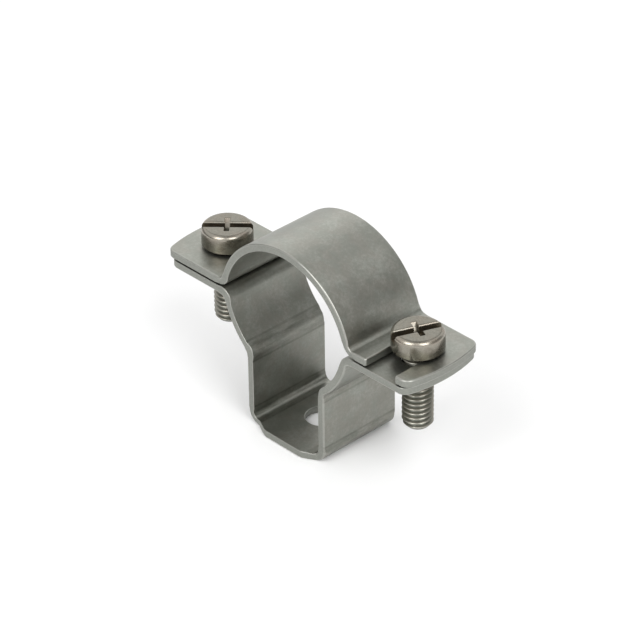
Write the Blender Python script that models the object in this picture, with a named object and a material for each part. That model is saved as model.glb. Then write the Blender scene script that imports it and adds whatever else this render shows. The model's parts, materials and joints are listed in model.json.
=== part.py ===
"""Lightning conductor holder: a folded steel bracket, a folded strap that swings
on the rear screw, and two cheese-head screws.

Frame: metres, +Z up from the mounting face, +X towards the slotted ear, Y along
the round passage. The origin is the centre of the base plate's underside.
"""

import math

import bmesh
import bpy
from mathutils import Matrix, Vector

MM = 0.001

# Diameter that the holder grips, and the height of its axis above the mounting face
CONDUCTOR_DIAMETER = 27.0 * MM
CONDUCTOR_HEIGHT = 25.7 * MM

# Sheet of both halves
SHEET_THICKNESS = 1.5 * MM
FOLD_RADIUS = 1.2 * MM
RIM_CHAMFER = 0.15 * MM
EAR_END_RADIUS = 30.0 * MM
EAR_CORNER_RADIUS = 2.0 * MM

# Bracket: base plate, channel walls, cradle shoulders and ears
BASE_WIDTH = 21.8 * MM
BASE_EDGE_OFFSET = 0.6 * MM
BASE_CORNER_INSET = 3.9 * MM
BASE_CORNER_RUN = 3.2 * MM
BASE_CORNER_BOW = 0.2 * MM
FIXING_HOLE_DIAMETER = 6.5 * MM
CHANNEL_WIDTH = 17.5 * MM
CRADLE_PLAY = 1.6 * MM
CRADLE_CENTRE_RISE = 2.8 * MM
BRACKET_WIDTH = 18.6 * MM
BRACKET_EAR_RISE = 1.0 * MM
BRACKET_EAR_REACH = 7.1 * MM

# Strap: arch, slotted front ear and rear ear on its pivot
ARCH_PLAY = 2.4 * MM
ARCH_CENTRE_DROP = 1.14 * MM
STRAP_WIDTH = 18.4 * MM
FRONT_EAR_REACH = 7.6 * MM
REAR_EAR_REACH = 8.1 * MM
EAR_GAP = 0.3 * MM

# Screws
SCREW_DIAMETER = 6.0 * MM
SCREW_LENGTH = 16.5 * MM
TIP_CHAMFER = 1.0 * MM
HEAD_DIAMETER = 9.8 * MM
HEAD_HEIGHT = 3.9 * MM
HEAD_TAPER = 0.1 * MM
HEAD_EDGE_RADIUS = 1.0 * MM
HEAD_FOOT_CHAMFER = 0.25 * MM
HEAD_GAP = 0.4 * MM
HEAD_TO_FOLD = 2.5 * MM
DRIVE_SLOT_WIDTH = 1.6 * MM
DRIVE_SLOT_DEPTH = 1.7 * MM
CROSS_LENGTH = 4.7 * MM
CROSS_WIDTH = 1.3 * MM
CROSS_DEPTH = 2.5 * MM
FRONT_SLOT_TURN = math.radians(67.0)
REAR_SLOT_TURN = math.radians(44.0)

# Clearances
HOLE_CLEARANCE = 0.3 * MM
SLOT_CLEARANCE = 0.2 * MM

# Fineness of the curves, and how far a cutter runs past what it cuts
ARCH_STEP = math.radians(5.0)
FOLD_STEP = math.radians(12.0)
ROUND_STEP = math.radians(9.0)
CUT_MARGIN = 1.0 * MM

# Edges sharper than these are shaded as creases, or chamfered as cut rims
CREASE_ANGLE = math.radians(30.0)
RIM_ANGLE = math.radians(50.0)

# Tone and roughness of the two steels
SHEET_COLOUR = (0.42, 0.42, 0.40)
SHEET_ROUGHNESS = 0.42
SCREW_COLOUR = (0.46, 0.45, 0.42)
SCREW_ROUGHNESS = 0.28

# Radii and heights of the two sections, worked out from the sizes above
FOLD_OUTSIDE = FOLD_RADIUS + SHEET_THICKNESS
CRADLE_RADIUS = CONDUCTOR_DIAMETER / 2 + CRADLE_PLAY
CRADLE_CENTRE = CONDUCTOR_HEIGHT + CRADLE_CENTRE_RISE
ARCH_INSIDE = CONDUCTOR_DIAMETER / 2 + ARCH_PLAY
ARCH_OUTSIDE = ARCH_INSIDE + SHEET_THICKNESS
ARCH_CENTRE = CONDUCTOR_HEIGHT - ARCH_CENTRE_DROP
BRACKET_EAR_TOP = CONDUCTOR_HEIGHT + BRACKET_EAR_RISE
STRAP_EAR_UNDERSIDE = BRACKET_EAR_TOP + EAR_GAP
STRAP_EAR_TOP = STRAP_EAR_UNDERSIDE + SHEET_THICKNESS
HEAD_UNDERSIDE = STRAP_EAR_TOP + HEAD_GAP

# Where the strap's ears begin, and from there the places of the screws
STRAP_FOLD_HEIGHT = STRAP_EAR_TOP + FOLD_RADIUS
STRAP_FOLD_REACH = math.sqrt(
    (ARCH_OUTSIDE + FOLD_RADIUS) ** 2 - (STRAP_FOLD_HEIGHT - ARCH_CENTRE) ** 2
)
SCREW_REACH = STRAP_FOLD_REACH + HEAD_DIAMETER / 2 + HEAD_TO_FOLD

# The front ear's slot lets the screw out along its path round the rear screw
SCREW_SPACING = 2 * SCREW_REACH
EXIT_ANGLE = math.asin(STRAP_WIDTH / 2 / SCREW_SPACING)
EXIT_DRIFT = SCREW_SPACING * (1 - math.cos(EXIT_ANGLE))
SLOT_WIDTH = SCREW_DIAMETER + EXIT_DRIFT + 2 * SLOT_CLEARANCE
SLOT_CENTRE = SCREW_REACH - EXIT_DRIFT / 2


def clear_scene():
    """Remove whatever the file holds."""
    for item in list(bpy.data.objects):
        bpy.data.objects.remove(item, do_unlink=True)


def steel(name, colour, roughness):
    """Stainless steel with its own tone and polish."""
    material = bpy.data.materials.new(name)
    material.use_nodes = True
    shader = material.node_tree.nodes["Principled BSDF"]
    shader.inputs["Base Color"].default_value = (*colour, 1.0)
    shader.inputs["Metallic"].default_value = 1.0
    shader.inputs["Roughness"].default_value = roughness
    return material


def angles(start, end, step):
    """Evenly spaced angles from start to end, none further apart than step."""
    count = max(2, math.ceil(abs(end - start) / step))
    return [start + (end - start) * i / count for i in range(count + 1)]


def polar(centre, radius, angle):
    """Point on a circle in the plane of the drawing."""
    return centre[0] + radius * math.cos(angle), centre[1] + radius * math.sin(angle)


def bend(centre, top_radius, under_radius, start, end, step):
    """Pairs of points on the sheet's upper and lower faces round one bend."""
    return [
        (polar(centre, top_radius, angle), polar(centre, under_radius, angle))
        for angle in angles(start, end, step)
    ]


def section_outline(right_half):
    """Closed outline of a folded sheet from its right half."""
    left_half = [((-top[0], top[1]), (-under[0], under[1])) for top, under in right_half]
    pairs = left_half[::-1] + right_half
    return [top for top, under in pairs] + [under for top, under in pairs[::-1]]


def bracket_section():
    """Right half of the bracket's section, from the base plate out past the ear."""
    reach = CHANNEL_WIDTH / 2 + FOLD_OUTSIDE
    span = CRADLE_RADIUS + FOLD_OUTSIDE
    base = (CHANNEL_WIDTH / 2 - FOLD_RADIUS, FOLD_OUTSIDE)
    wall = (reach, CRADLE_CENTRE - math.sqrt(span ** 2 - reach ** 2))
    drop = CRADLE_CENTRE - BRACKET_EAR_TOP + FOLD_OUTSIDE
    ear = (math.sqrt(span ** 2 - drop ** 2), CRADLE_CENTRE - drop)
    low = math.atan2(wall[1] - CRADLE_CENTRE, wall[0])
    high = math.atan2(ear[1] - CRADLE_CENTRE, ear[0])
    cradle = bend(
        (0.0, CRADLE_CENTRE), CRADLE_RADIUS, CRADLE_RADIUS + SHEET_THICKNESS, low, high, ARCH_STEP
    )
    end = SCREW_REACH + BRACKET_EAR_REACH + CUT_MARGIN
    pairs = bend(base, FOLD_RADIUS, FOLD_OUTSIDE, -math.pi / 2, 0.0, FOLD_STEP)
    pairs += bend(wall, FOLD_OUTSIDE, FOLD_RADIUS, math.pi, low + math.pi, FOLD_STEP)
    pairs += cradle[1:-1]
    pairs += bend(ear, FOLD_OUTSIDE, FOLD_RADIUS, high + math.pi, math.pi / 2, FOLD_STEP)
    pairs.append(((end, BRACKET_EAR_TOP), (end, BRACKET_EAR_TOP - SHEET_THICKNESS)))
    return pairs


def strap_section():
    """Right half of the strap's section, from the crown out past the ear."""
    fold = (STRAP_FOLD_REACH, STRAP_FOLD_HEIGHT)
    turn = math.atan2(STRAP_FOLD_HEIGHT - ARCH_CENTRE, STRAP_FOLD_REACH)
    arch = bend((0.0, ARCH_CENTRE), ARCH_OUTSIDE, ARCH_INSIDE, math.pi / 2, turn, ARCH_STEP)
    end = SCREW_REACH + max(FRONT_EAR_REACH, REAR_EAR_REACH) + CUT_MARGIN
    pairs = arch[1:-1]
    pairs += bend(fold, FOLD_RADIUS, FOLD_OUTSIDE, turn + math.pi, 1.5 * math.pi, FOLD_STEP)
    pairs.append(((end, STRAP_EAR_TOP), (end, STRAP_EAR_UNDERSIDE)))
    return pairs


def ear_end(reach, half_width):
    """Rounded corner and half of the bowed end of an ear, from its side to its tip."""
    bow_centre = reach - EAR_END_RADIUS
    height = half_width - EAR_CORNER_RADIUS
    inner_bow = EAR_END_RADIUS - EAR_CORNER_RADIUS
    corner = (bow_centre + math.sqrt(inner_bow ** 2 - height ** 2), height)
    turn = math.asin(height / inner_bow)
    points = [polar(corner, EAR_CORNER_RADIUS, a) for a in angles(math.pi / 2, turn, FOLD_STEP)]
    tip = [polar((bow_centre, 0.0), EAR_END_RADIUS, a) for a in angles(turn, 0.0, ARCH_STEP)]
    return points + tip[1:]


def plan_outline(front, rear):
    """Closed plan outline from its two quarters at +Y, each given from side to tip."""
    right = front + [(x, -y) for x, y in front[-2::-1]]
    left = rear + [(x, -y) for x, y in rear[-2::-1]]
    return right + [(-x, -y) for x, y in left]


def base_corner(offset):
    """Sloping, slightly bowed corner of the base plate, from its wide edge to the wall."""
    start = Vector((CHANNEL_WIDTH / 2 - BASE_CORNER_INSET + offset, BASE_WIDTH / 2))
    end = Vector((start.x + BASE_CORNER_RUN, BRACKET_WIDTH / 2))
    middle = (start + end) / 2 + (end - start).orthogonal().normalized() * BASE_CORNER_BOW
    return [tuple(start), tuple(middle), tuple(end)]


def bracket_plan():
    """Plan outline of the bracket: wide base a little off its middle, walls and ears."""
    ear = ear_end(SCREW_REACH + BRACKET_EAR_REACH, BRACKET_WIDTH / 2)
    return plan_outline(base_corner(BASE_EDGE_OFFSET) + ear, base_corner(-BASE_EDGE_OFFSET) + ear)


def strap_plan():
    """Plan outline of the strap, without its slot."""
    front = ear_end(SCREW_REACH + FRONT_EAR_REACH, STRAP_WIDTH / 2)
    rear = ear_end(SCREW_REACH + REAR_EAR_REACH, STRAP_WIDTH / 2)
    return plan_outline(front, rear)


def slot_plan():
    """Plan outline of the open slot: round end at the screw, mouth at -Y."""
    radius = SLOT_WIDTH / 2
    mouth = -STRAP_WIDTH / 2 - CUT_MARGIN
    points = [polar((SLOT_CENTRE, 0.0), radius, a) for a in angles(0.0, math.pi, ROUND_STEP)]
    return points + [(SLOT_CENTRE - radius, mouth), (SLOT_CENTRE + radius, mouth)]


def circle(centre_x, radius):
    """Points round a circle whose centre is on the X axis."""
    count = round(2 * math.pi / ROUND_STEP)
    return [polar((centre_x, 0.0), radius, 2 * math.pi * i / count) for i in range(count)]


def new_object(name, form, material=None):
    """Turn a finished bmesh into an object whose faces point outwards."""
    bmesh.ops.recalc_face_normals(form, faces=form.faces)
    mesh = bpy.data.meshes.new(name)
    form.to_mesh(mesh)
    form.free()
    item = bpy.data.objects.new(name, mesh)
    bpy.context.scene.collection.objects.link(item)
    if material:
        mesh.materials.append(material)
        mesh.shade_smooth()
        mesh.set_sharp_from_angle(angle=CREASE_ANGLE)
    return item


def prism(name, corners, travel, material=None):
    """Extrude a closed outline along a vector."""
    form = bmesh.new()
    face = form.faces.new([form.verts.new(corner) for corner in corners])
    swept = bmesh.ops.extrude_face_region(form, geom=[face])
    moved = [part for part in swept["geom"] if isinstance(part, bmesh.types.BMVert)]
    bmesh.ops.translate(form, verts=moved, vec=travel)
    return new_object(name, form, material)


def cutter(name, outline, low, high):
    """Upright prism that only cuts, never shows."""
    tool = prism(name, [(x, y, low) for x, y in outline], (0.0, 0.0, high - low))
    tool.hide_render = True
    tool.display_type = "WIRE"
    return tool


def trim(item, tool, operation="DIFFERENCE"):
    """Boolean one object by a cutter."""
    modifier = item.modifiers.new(tool.name, "BOOLEAN")
    modifier.operation = operation
    modifier.solver = "EXACT"
    modifier.object = tool


def chamfer_rims(item):
    """Take the sharpness off the cut edges of a sheet."""
    modifier = item.modifiers.new("rims", "BEVEL")
    modifier.width = RIM_CHAMFER
    modifier.segments = 1
    modifier.limit_method = "ANGLE"
    modifier.angle_limit = RIM_ANGLE


def folded_sheet(name, right_half, width, material):
    """Sheet of the given section, as wide as asked and a little more."""
    half_width = width / 2 + CUT_MARGIN
    corners = [(x, -half_width, z) for x, z in section_outline(right_half)]
    return prism(name, corners, (0.0, 2 * half_width, 0.0), material)


def make_bracket(material):
    """Lower half: base plate, channel walls, cradle shoulders and tapped ears."""
    bracket = folded_sheet("base_bracket", bracket_section(), BASE_WIDTH, material)
    low = -CUT_MARGIN
    high = BRACKET_EAR_TOP + CUT_MARGIN
    tapped = SCREW_DIAMETER / 2 + HOLE_CLEARANCE
    trim(bracket, cutter("bracket_outline", bracket_plan(), low, high), "INTERSECT")
    trim(bracket, cutter("front_tapped_hole", circle(SCREW_REACH, tapped), low, high))
    trim(bracket, cutter("rear_tapped_hole", circle(-SCREW_REACH, tapped), low, high))
    trim(bracket, cutter("fixing_hole", circle(0.0, FIXING_HOLE_DIAMETER / 2), low, high))
    chamfer_rims(bracket)
    return bracket


def make_strap(material):
    """Upper half: arch, ear on the rear screw and ear with the open slot."""
    strap = folded_sheet("clamp_strap", strap_section(), STRAP_WIDTH, material)
    low = STRAP_EAR_UNDERSIDE - CUT_MARGIN
    high = ARCH_CENTRE + ARCH_OUTSIDE + CUT_MARGIN
    pivot = SCREW_DIAMETER / 2 + HOLE_CLEARANCE
    trim(strap, cutter("strap_outline", strap_plan(), low, high), "INTERSECT")
    trim(strap, cutter("front_slot", slot_plan(), low, high))
    trim(strap, cutter("pivot_hole", circle(-SCREW_REACH, pivot), low, high))
    chamfer_rims(strap)
    return strap


def screw_profile():
    """Half section of a screw, from the tip up, with z = 0 at the head's underside."""
    shank = SCREW_DIAMETER / 2
    head = HEAD_DIAMETER / 2
    edge = (head - HEAD_TAPER - HEAD_EDGE_RADIUS, HEAD_HEIGHT - HEAD_EDGE_RADIUS)
    profile = [
        (shank - TIP_CHAMFER, -SCREW_LENGTH),
        (shank, TIP_CHAMFER - SCREW_LENGTH),
        (shank, 0.0),
        (head - HEAD_FOOT_CHAMFER, 0.0),
        (head, HEAD_FOOT_CHAMFER),
    ]
    return profile + [polar(edge, HEAD_EDGE_RADIUS, a) for a in angles(0.0, math.pi / 2, FOLD_STEP)]


def turned(name, profile, material):
    """Solid of revolution about Z with flat ends."""
    form = bmesh.new()
    rings = []
    for radius, height in profile:
        rings.append([form.verts.new((x, y, height)) for x, y in circle(0.0, radius)])
    form.faces.new(rings[0])
    form.faces.new(rings[-1])
    for lower, upper in zip(rings, rings[1:]):
        for i in range(len(lower)):
            after = (i + 1) % len(lower)
            form.faces.new((lower[i], lower[after], upper[after], upper[i]))
    return new_object(name, form, material)


def drive_bar(name, length, width, depth, screw):
    """Bar that cuts one line of the driving recess out of a head's top."""
    x = length / 2
    y = width / 2
    bar = cutter(
        name, [(x, y), (-x, y), (-x, -y), (x, -y)], HEAD_HEIGHT - depth, HEAD_HEIGHT + CUT_MARGIN
    )
    bar.parent = screw
    return bar


def make_screw(name, place, turn, material):
    """Cheese-head screw with a full slot crossed by a short, deeper one."""
    screw = turned(name, screw_profile(), material)
    screw.location = (place, 0.0, HEAD_UNDERSIDE)
    screw.rotation_euler.z = turn
    across = HEAD_DIAMETER + 2 * CUT_MARGIN
    trim(screw, drive_bar(f"{name}_slot", across, DRIVE_SLOT_WIDTH, DRIVE_SLOT_DEPTH, screw))
    trim(screw, drive_bar(f"{name}_cross", CROSS_WIDTH, CROSS_LENGTH, CROSS_DEPTH, screw))
    return screw


def put_origin(item, place):
    """Move an object's origin to a point and leave its shape where it is."""
    item.data.transform(Matrix.Translation(-Vector(place)))
    item.location = place


def main():
    """Build the four pieces of the holder."""
    clear_scene()
    sheet = steel("stainless_sheet", SHEET_COLOUR, SHEET_ROUGHNESS)
    bar = steel("stainless_screw", SCREW_COLOUR, SCREW_ROUGHNESS)
    make_bracket(sheet)
    strap = make_strap(sheet)
    put_origin(strap, (-SCREW_REACH, 0.0, STRAP_EAR_TOP))
    make_screw("front_screw", SCREW_REACH, FRONT_SLOT_TURN, bar)
    make_screw("rear_screw", -SCREW_REACH, REAR_SLOT_TURN, bar)


main()
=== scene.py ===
"""Folded stainless conductor holder: the strap, the bracket and the two cheese-head screws,
made as sheet blanks that are deburred and folded, and as turned and threaded screws.

Metres, +Z up from the mounting face, +X towards the slotted ear, Y along the round passage.
"""

import json
import math

import bmesh
import bpy
from mathutils import Matrix, Vector


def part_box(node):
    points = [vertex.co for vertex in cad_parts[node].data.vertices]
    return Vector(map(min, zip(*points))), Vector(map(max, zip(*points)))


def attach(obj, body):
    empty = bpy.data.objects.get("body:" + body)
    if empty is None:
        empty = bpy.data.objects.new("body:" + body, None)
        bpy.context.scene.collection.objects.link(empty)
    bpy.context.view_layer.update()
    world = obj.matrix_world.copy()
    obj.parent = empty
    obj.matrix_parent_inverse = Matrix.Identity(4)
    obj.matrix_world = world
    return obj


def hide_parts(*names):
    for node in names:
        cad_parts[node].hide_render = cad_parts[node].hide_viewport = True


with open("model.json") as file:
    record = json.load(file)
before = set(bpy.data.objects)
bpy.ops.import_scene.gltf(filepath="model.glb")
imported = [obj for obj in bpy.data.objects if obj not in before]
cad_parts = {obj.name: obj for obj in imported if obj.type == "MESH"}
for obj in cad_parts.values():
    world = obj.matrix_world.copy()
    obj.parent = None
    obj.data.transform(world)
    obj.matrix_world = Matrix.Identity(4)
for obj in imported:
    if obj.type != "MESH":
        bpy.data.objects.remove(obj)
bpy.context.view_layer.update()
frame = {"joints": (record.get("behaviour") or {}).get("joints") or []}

bl_info = {
    "name": "Conductor Holder",
    "version": (1, 0, 0),
    "blender": (4, 5, 0),
    "location": "3D View > Sidebar > Holder",
    "description": "Builds a folded stainless conductor holder with its strap, bracket and screws",
    "category": "Add Mesh",
}

MM = 0.001

# Places that the frame gives: the screws' axes, the ears' heights and the overall reaches
JOINT_PLACES = {joint["name"]: Vector(joint["pos_m"]) for joint in frame["joints"]}
STRAP_LOW, STRAP_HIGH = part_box("clamp_strap")
BRACKET_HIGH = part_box("base_bracket")[1]
SCREW_LOW, SCREW_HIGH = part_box("front_screw")
SCREW_REACH = JOINT_PLACES["front_screw_turn"].x
HEAD_UNDERSIDE = JOINT_PLACES["front_screw_turn"].z

# Sections of the two folded sheets
THICKNESS = 1.5 * MM
FOLD_INSIDE = 1.2 * MM
FOLD_OUTSIDE = FOLD_INSIDE + THICKNESS
FOLD_MIDDLE = FOLD_INSIDE + THICKNESS / 2
ARCH_OUTSIDE = 17.4 * MM
CRADLE_INSIDE = 15.1 * MM
CRADLE_CENTRE = 28.5 * MM
CHANNEL_WIDTH = 17.5 * MM

# Plan of the blanks
EAR_END_RADIUS = 30.0 * MM
EAR_CORNER_RADIUS = 2.0 * MM
BRACKET_HALF_WIDTH = 9.3 * MM
BASE_CORNER_START = 4.85 * MM
BASE_CORNER_RUN = 3.2 * MM
BASE_CORNER_RADIUS = 2.5 * MM
BASE_CORNER_FOOT_RADIUS = 1.0 * MM
BASE_OFFSET = 0.6 * MM
FIXING_HOLE_RADIUS = 3.25 * MM
PIVOT_HOLE_RADIUS = 3.3 * MM
TAPPED_HOLE_RADIUS = 3.05 * MM
SHANK_RADIUS = 3.0 * MM
SLOT_CLEARANCE = 0.2 * MM
SLOT_MOUTH_RADIUS = 0.4 * MM

# Rounded rims of the two sides, and how far a tight bend swells the sheet's edge
OUTER_RIM = 0.28 * MM
INNER_RIM = 0.12 * MM
EDGE_BULGE = 0.4 * MM

# Tool marks and painted shade on the bends: their reach past a tight bend, their soft edge and the
# heights where they fade
MARK_REACH = 0.7 * MM
MARK_EDGE = 0.6 * MM
MARK_AND_SHADE_FADE_START = 18.0 * MM
MARK_AND_SHADE_FADE_END = 24.0 * MM

# Fineness of the folded sheets, where a whole run is longer than any flat
ARC_STEP = math.radians(4.0)
ROUND_STEP = math.radians(6.0)
SECTION_STEP = math.radians(1.0)
RUN_STEP = 0.5 * MM
WHOLE_RUN = 1.0
CORNER_STEPS = 6
RIM_SEGMENTS = 4

# How far the line that a blank is folded along runs on past its ears
EAR_SPARE = 1.0 * MM

# Tolerances of the blanks' cuts, and the slope that tells a flat face from a cut one
CUT_TOLERANCE = 1e-8
ALIGNED = 1e-7
STEEP = 0.5

# Angles past which an edge stays sharp
SHEET_CREASE = math.radians(40.0)
SCREW_CREASE = math.radians(50.0)

# Depth of the fine relief in each finish, the darker tone of the cut edge and the brown patches in the
# recess
SHEET_RELIEF = 0.010 * MM
TORN_RELIEF = 0.020 * MM
TURNED_RELIEF = 0.008 * MM
RECESS_RELIEF = 0.010 * MM
TORN_COLOUR = (0.16, 0.16, 0.15)
BROWN_PATCH_COLOUR = (0.16, 0.13, 0.09)

# Turned screws
EDGE_RADIUS = 0.9 * MM
CROSS_SLOPE = 0.62
SEAM_GAP = 1e-6
HEAD_DIAMETER = 9.92 * MM
HEAD_HEIGHT = SCREW_HIGH.z - HEAD_UNDERSIDE
SHANK_LENGTH = HEAD_UNDERSIDE - SCREW_LOW.z

# Studio: floor, even sky and the point that the soft lamps aim at
FLOOR_REACH = 3.0
FLOOR_DROP = 0.05 * MM
SKY_LEVEL = 0.8
LIT_POINT = Vector((0.0, 0.0, 0.02))

# Soft lamps: name, place, width, height and power
LAMPS = (
    ("left_lamp", (0.03, -0.55, 0.46), 0.32, 0.52, 2.2),
    ("right_lamp", (0.51, -0.14, 0.48), 0.32, 0.52, 2.2),
    ("back_lamp", (-0.60, 0.48, 0.42), 0.50, 0.50, 0.62),
)

# Grey boards that show in the polish: name, place, width, foot and top, and one overhead
BOARDS = (
    ("right_board", (0.324, 0.235), 0.56, 0.08, 0.46),
    ("left_board", (-0.30, -0.26), 0.9, 0.0, 0.16),
)
CEILING_REACH = 0.19
CEILING_HEIGHT = 0.75
BOARD_COLOUR = (0.30, 0.30, 0.29)

# Camera
SENSOR_WIDTH = 36.0
NEAREST_SEEN = 0.01
FURTHEST_SEEN = 20.0


def arithmetic(operation, swapped=False):
    """Method of a Socket that adds a Math node, with its two values swapped where asked."""
    def method(self, other):
        values = (other, self) if swapped else (self, other)
        return self.graph.math(operation, *values)
    return method


class Socket:
    """A value in a node tree that takes part in plain arithmetic."""

    def __init__(self, graph, socket):
        self.graph = graph
        self.socket = socket

    __add__ = arithmetic("ADD")
    __radd__ = arithmetic("ADD", swapped=True)
    __sub__ = arithmetic("SUBTRACT")
    __rsub__ = arithmetic("SUBTRACT", swapped=True)
    __mul__ = arithmetic("MULTIPLY")
    __rmul__ = arithmetic("MULTIPLY", swapped=True)
    __truediv__ = arithmetic("DIVIDE")
    __rtruediv__ = arithmetic("DIVIDE", swapped=True)
    __gt__ = arithmetic("GREATER_THAN")
    __lt__ = arithmetic("LESS_THAN")

    def __neg__(self):
        return self * -1.0

    def __abs__(self):
        return self.graph.math("ABSOLUTE", self)


class Graph:
    """A node tree whose nodes are written as expressions."""

    def __init__(self, tree):
        self.tree = tree

    def add(self, kind, settings=None, sockets=None, output=0):
        """Add a node with its settings and its sockets' values or links, and give one output."""
        node = self.tree.nodes.new(kind)
        for name, value in (settings or {}).items():
            setattr(node, name, value)
        for key, value in (sockets or {}).items():
            for one in value if isinstance(value, list) else [value]:
                if isinstance(one, Socket):
                    self.tree.links.new(one.socket, node.inputs[key])
                else:
                    node.inputs[key].default_value = one
        return Socket(self, node.outputs[output])

    def other(self, value, output):
        """Another output of the node that a value comes from."""
        return Socket(self, value.socket.node.outputs[output])

    def math(self, operation, *values):
        """Math node on one to three values."""
        return self.add("ShaderNodeMath", {"operation": operation}, dict(enumerate(values)))

    def smooth(self, value, low, high):
        """0 below low, 1 above high and a soft step between them."""
        sockets = {"Value": value, "From Min": low, "From Max": high}
        return self.add("ShaderNodeMapRange", {"interpolation_type": "SMOOTHSTEP"}, sockets)

    def clamp(self, value, low=0.0, high=1.0):
        """Value held between two others."""
        return self.math("MAXIMUM", self.math("MINIMUM", value, high), low)

    def pick(self, choice, chosen, otherwise):
        """Chosen where choice is 1, otherwise where it is 0."""
        return choice * chosen + (1.0 - choice) * otherwise

    def mix(self, factor, first, second):
        """Mix two colours."""
        return self.add("ShaderNodeMix", {"data_type": "RGBA"}, {0: factor, 6: first, 7: second}, 2)

    def vector(self, operation, first, second=None):
        """Vector Math node on one vector, on two, or on a vector and its scale."""
        sockets = {0: first}
        if second is not None:
            sockets[3 if operation == "SCALE" else 1] = second
        return self.add("ShaderNodeVectorMath", {"operation": operation}, sockets)

    def split(self, vector):
        """The three numbers of a vector."""
        x = self.add("ShaderNodeSeparateXYZ", sockets={0: vector})
        return x, self.other(x, 1), self.other(x, 2)

    def join(self, x, y, z):
        """A vector from three numbers."""
        return self.add("ShaderNodeCombineXYZ", sockets={0: x, 1: y, 2: z})

    def noise(self, place, scale, detail=2.0, roughness=0.5):
        """Noise from about 0 to 1."""
        sockets = {"Vector": place, "Scale": scale, "Detail": detail, "Roughness": roughness}
        return self.add("ShaderNodeTexNoise", sockets=sockets)

    def surface(self, shader, kind="ShaderNodeOutputMaterial"):
        """Lead a shader to the tree's output node."""
        self.tree.links.new(shader.socket, self.tree.nodes.new(kind).inputs["Surface"])

    def patches(self, pattern, low, high, first, second):
        """The second colour in soft patches on the first, where the pattern is high."""
        return self.mix(self.smooth(pattern, low, high), rgba(first), rgba(second))

    def position(self):
        """The three numbers of a point's place on the geometry."""
        return self.split(self.add("GeometryNodeInputPosition"))

    def moved(self, geometry, place):
        """Geometry with its points at other places."""
        return self.add("GeometryNodeSetPosition", sockets={"Geometry": geometry, "Position": place})

    def coated(self, geometry, material, chosen=True):
        """Geometry with a material on the chosen faces."""
        sockets = {"Geometry": geometry, "Selection": chosen, "Material": material}
        return self.add("GeometryNodeSetMaterial", sockets=sockets)

    def above(self, value, limit):
        """True where a value is over a limit."""
        return self.add("FunctionNodeCompare", sockets={0: value, 1: limit})

    def boolean(self, operation, sockets):
        """Exact Mesh Boolean."""
        return self.add("GeometryNodeMeshBoolean", {"operation": operation, "solver": "EXACT"}, sockets)


def rgba(colour):
    """A colour with full opacity."""
    return (*colour, 1.0)


def new_graph(owner):
    """Empty node tree of a new material or world."""
    owner.use_nodes = True
    owner.node_tree.nodes.clear()
    return Graph(owner.node_tree)


def new_material(name):
    """Empty node material with its graph."""
    material = bpy.data.materials.new(name)
    return material, new_graph(material)


def metal_output(graph, colour, roughness, height, depth):
    """Metallic Principled shader with relief of a depth, into the material's output."""
    normal = graph.add("ShaderNodeBump", sockets={"Height": height, "Distance": depth})
    sockets = {"Base Color": colour, "Roughness": roughness, "Normal": normal, "Metallic": 1.0}
    graph.surface(graph.add("ShaderNodeBsdfPrincipled", sockets=sockets))


def millimetres(graph):
    """Place on the object in millimetres."""
    place = graph.add("ShaderNodeTexCoord", output=3)
    return graph.vector("SCALE", place, 1.0 / MM)


def scratches(graph, place, turn, scale, threshold):
    """Fine straight marks in one direction, from 0 to 1, fewer with a higher threshold."""
    softness = 0.06
    turned = graph.add("ShaderNodeMapping", sockets={"Vector": place, "Rotation": turn, "Scale": scale})
    return graph.smooth(graph.noise(turned, 1.0, 1.0), threshold, threshold + softness)


def sheet_steel(finish):
    """Rolled stainless sheet, tumbled matt after folding, with darker forming marks and painted shade on
    its bends, strongest on the lower ones.
    """
    material, graph = new_material("stainless_sheet")
    place = millimetres(graph)
    cloud = graph.noise(place, 0.22, 3.0, 0.6)
    tint = graph.noise(place, 0.34, 2.0)
    speck = graph.noise(place, 1.6, 3.0, 0.7)
    grain = graph.noise(place, 6.0, 3.0, 0.65)
    marks = scratches(graph, place, (0.4, 0.3, -0.7), (0.10, 8.0, 8.0), 0.72)
    worked = graph.add("ShaderNodeAttribute", {"attribute_name": "worked"}, output=2)
    rim = graph.add("ShaderNodeAttribute", {"attribute_name": "rim"}, output=2)
    rubbed = graph.noise(graph.vector("MULTIPLY", place, (1.0, 0.22, 1.0)), 0.9, 3.0, 0.6)
    _, _, height_up = graph.split(place)
    # Forming marks on the bends, with a darker line just past each, and painted shade there: full low
    # down, a quarter above the fade heights
    lower_bends_weight = 1.0 - 0.75 * graph.smooth(height_up, MARK_AND_SHADE_FADE_START / MM, MARK_AND_SHADE_FADE_END / MM)
    formed_marks_and_shade = lower_bends_weight * worked * graph.smooth(rubbed, 0.42, 0.62)
    line = lower_bends_weight * worked * (1.0 - worked) * 4.0 * graph.smooth(rubbed, 0.25, 0.45)

    colour = graph.patches(tint, 0.40, 0.62, finish.sheet_colour, finish.sheet_warm_colour)
    shade = 0.36 * cloud + 0.34 * speck + 0.14 * grain - 0.42
    colour = graph.mix(graph.clamp(0.28 - shade), colour, rgba(finish.stain_colour))
    colour = graph.mix(graph.clamp(shade + 0.15 * marks), colour, rgba(finish.worn_colour))
    colour = graph.mix(graph.clamp(0.30 * formed_marks_and_shade + 0.30 * line), colour, rgba(finish.stain_colour))
    colour = graph.mix(0.22 * rim, colour, rgba(finish.worn_colour))

    roughness = finish.sheet_roughness + 0.10 * (cloud - 0.5) + 0.12 * (speck - 0.5)
    roughness = roughness - 0.07 * formed_marks_and_shade - 0.08 * rim
    height = 0.5 * grain + 0.7 * speck - 0.3 * marks
    metal_output(graph, colour, roughness, height, SHEET_RELIEF)
    return material


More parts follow.
